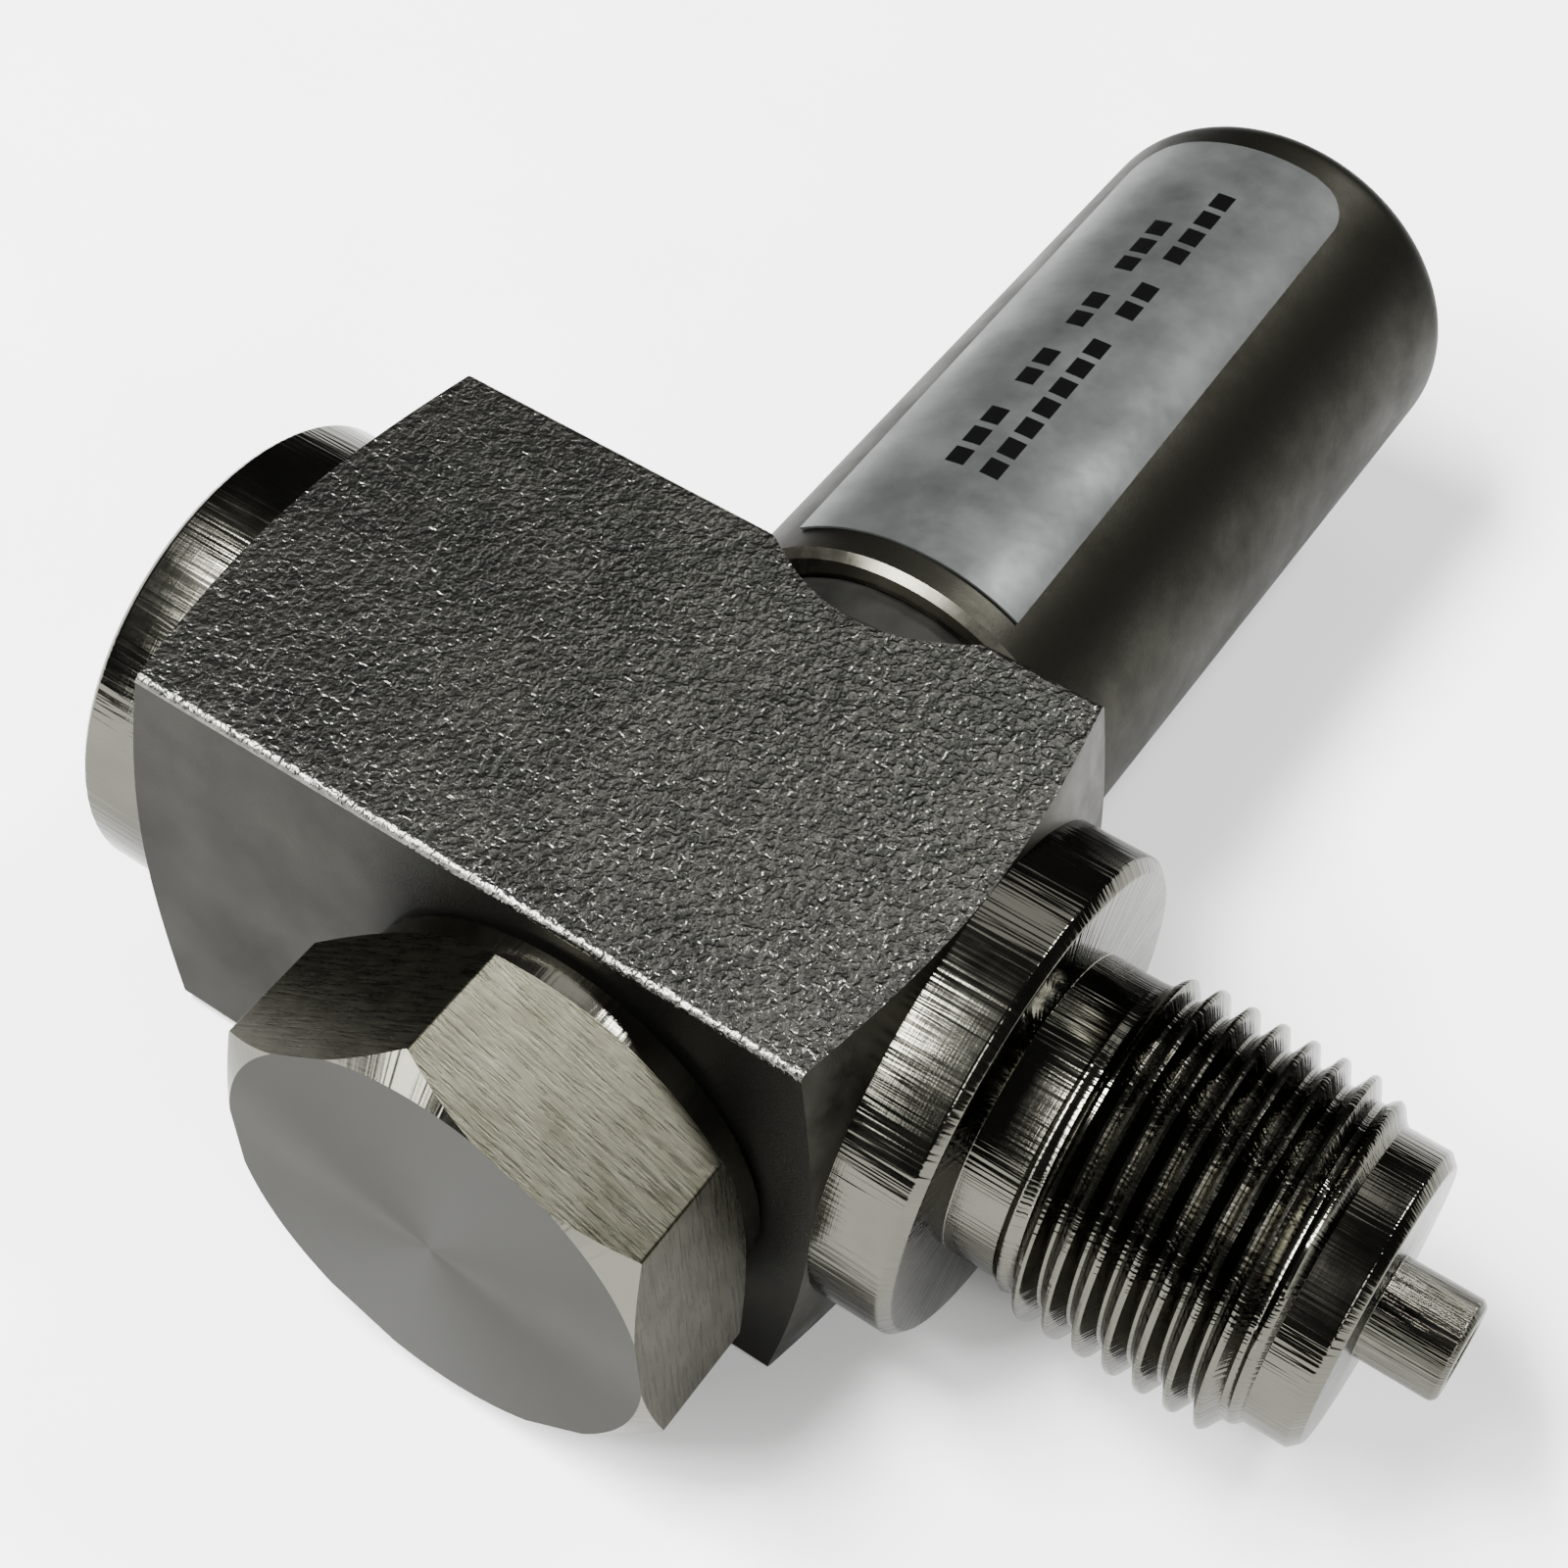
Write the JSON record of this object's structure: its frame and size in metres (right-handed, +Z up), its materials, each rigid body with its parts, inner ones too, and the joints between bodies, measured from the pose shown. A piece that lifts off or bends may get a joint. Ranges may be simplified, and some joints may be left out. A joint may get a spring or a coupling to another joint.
{
  "type": "pressure relief valve",
  "caption": "Inline spring-loaded pressure relief valve: square-bar body with a threaded stud, a female port, a hex plug and a cylindrical bonnet.",
  "frame": {"origin": "on the body's flat underside, directly below the point where the main flow axis and the valve axis cross", "axes": "+X along the flow axis towards the threaded stud, +Y along the valve axis towards the bonnet's closed end, +Z up"},
  "size_m": [0.082, 0.0952, 0.031],
  "materials": {
    "body_steel": "as-forged grain on the top, matt blasted sides, turned ends",
    "plug_steel": "milled flats, faced end",
    "cap_steel": "satin",
    "turned_steel": "turned",
    "spring_steel": "drawn and shot peened",
    "epdm": "matt moulded",
    "ptfe": "matt",
    "label_film": "satin printed film"
  },
  "bodies": {
    "valve_body": {"body": "body_steel", "hex_plug": "plug_steel", "plug_seal_ring": "epdm", "seat_insert": "turned_steel", "seat_o_ring": "epdm", "stem_guide": "turned_steel", "guide_bush": "ptfe", "stem_o_ring": "epdm", "guide_circlip": "spring_steel", "spring_housing": "turned_steel", "housing_o_ring": "epdm", "cap_o_ring": "epdm", "bonnet_cap": "cap_steel", "pressure_label": "label_film", "lock_nut": "turned_steel", "spring": "spring_steel"},
    "poppet": {"poppet_stem": "turned_steel", "seal_disc": "epdm", "disc_screw": "turned_steel", "stem_circlip": "spring_steel", "lower_spring_seat": "turned_steel"},
    "spring_button": {"upper_spring_seat": "turned_steel", "thrust_ball": "turned_steel"},
    "adjuster": {"adjusting_screw": "turned_steel"}
  },
  "joints": [
    {"name": "poppet_lift", "type": "slide", "parent": "valve_body", "child": "poppet", "axis": [0, 1, 0], "range_m": [0, 0.0015], "stiffness_N_per_m": 2000, "springref_m": -0.001, "deforming": ["spring"]},
    {"name": "preload_travel", "type": "slide", "parent": "valve_body", "child": "spring_button", "axis": [0, 1, 0], "range_m": [-0.0015, 0.0015], "deforming": ["spring"]},
    {"name": "adjuster_turn", "type": "hinge", "parent": "spring_button", "child": "adjuster", "pos_m": [0, 0, 0.015], "axis": [0, 1, 0], "range_deg": [-360, 360]}
  ],
  "couplings": [
    {"joint": "adjuster_turn", "follows": "preload_travel", "rad_per_m": 4188.8}
  ]
}
